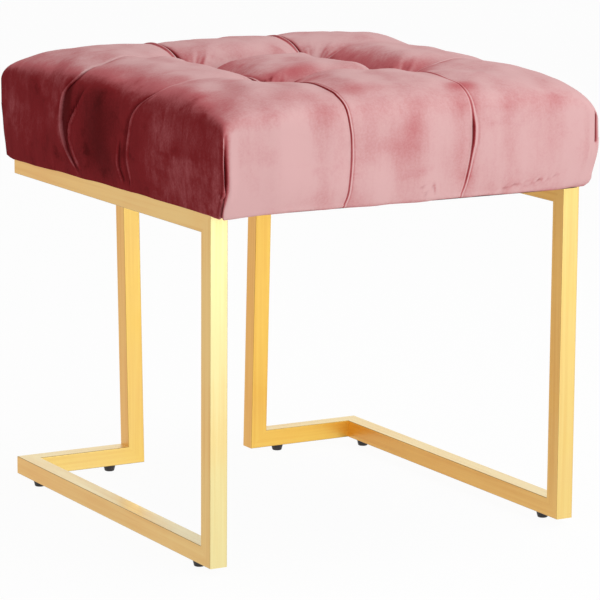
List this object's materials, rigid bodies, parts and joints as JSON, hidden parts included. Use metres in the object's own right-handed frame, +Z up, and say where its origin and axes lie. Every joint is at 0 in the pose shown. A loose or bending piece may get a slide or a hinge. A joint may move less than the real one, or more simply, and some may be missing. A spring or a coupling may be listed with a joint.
{
  "type": "upholstered stool",
  "caption": "Tufted velvet seat cushion on a gold frame of two mirrored square-tube loops with screw-in floor glides.",
  "frame": {"origin": "on the floor, below the middle of the cushion's outline", "axes": "+X to the stool's right along its front, +Y from front to back, +Z up"},
  "size_m": [0.478, 0.561, 0.5263],
  "materials": {
    "frame_gold": "gold-coloured plating, finely brushed",
    "zinc_steel": "bright zinc plating",
    "black_plastic": "moulded black nylon",
    "plywood": "unfinished plywood",
    "foam": "open-cell seat foam",
    "wadding": "loose polyester wadding",
    "velvet": "dusty pink velvet with a short pile",
    "twine": "waxed tufting twine",
    "dust_cloth": "black non-woven cloth"
  },
  "bodies": {
    "stool": {"left_front_leg": "frame_gold", "left_floor_rail": "frame_gold", "left_back_floor_rail": "frame_gold", "left_back_leg": "frame_gold", "left_back_seat_rail": "frame_gold", "left_seat_rail": "frame_gold", "right_front_leg": "frame_gold", "right_floor_rail": "frame_gold", "right_back_floor_rail": "frame_gold", "right_back_leg": "frame_gold", "right_back_seat_rail": "frame_gold", "right_seat_rail": "frame_gold", "left_seat_tabs": "frame_gold", "right_seat_tabs": "frame_gold", "glide_inserts": "zinc_steel", "seat_screws": "zinc_steel", "seat_washers": "zinc_steel", "tee_nuts": "zinc_steel", "seat_board": "plywood", "foam_block": "foam", "wadding_layer": "wadding", "velvet_cover": "velvet", "tuft_buttons": "velvet", "tuft_twines": "twine", "tuft_discs": "black_plastic", "dust_cover": "dust_cloth", "dust_staples": "zinc_steel"},
    "left_front_glide": {"left_front_pad": "black_plastic", "left_front_stud": "zinc_steel"},
    "left_corner_glide": {"left_corner_pad": "black_plastic", "left_corner_stud": "zinc_steel"},
    "left_leg_glide": {"left_leg_pad": "black_plastic", "left_leg_stud": "zinc_steel"},
    "right_front_glide": {"right_front_pad": "black_plastic", "right_front_stud": "zinc_steel"},
    "right_corner_glide": {"right_corner_pad": "black_plastic", "right_corner_stud": "zinc_steel"},
    "right_leg_glide": {"right_leg_pad": "black_plastic", "right_leg_stud": "zinc_steel"}
  },
  "joints": [
    {"name": "left_front_glide_screw", "type": "slide", "parent": "stool", "child": "left_front_glide", "axis": [0, 0, -1], "range_m": [0, 0.008]},
    {"name": "left_corner_glide_screw", "type": "slide", "parent": "stool", "child": "left_corner_glide", "axis": [0, 0, -1], "range_m": [0, 0.008]},
    {"name": "left_leg_glide_screw", "type": "slide", "parent": "stool", "child": "left_leg_glide", "axis": [0, 0, -1], "range_m": [0, 0.008]},
    {"name": "right_front_glide_screw", "type": "slide", "parent": "stool", "child": "right_front_glide", "axis": [0, 0, -1], "range_m": [0, 0.008]},
    {"name": "right_corner_glide_screw", "type": "slide", "parent": "stool", "child": "right_corner_glide", "axis": [0, 0, -1], "range_m": [0, 0.008]},
    {"name": "right_leg_glide_screw", "type": "slide", "parent": "stool", "child": "right_leg_glide", "axis": [0, 0, -1], "range_m": [0, 0.008]}
  ]
}
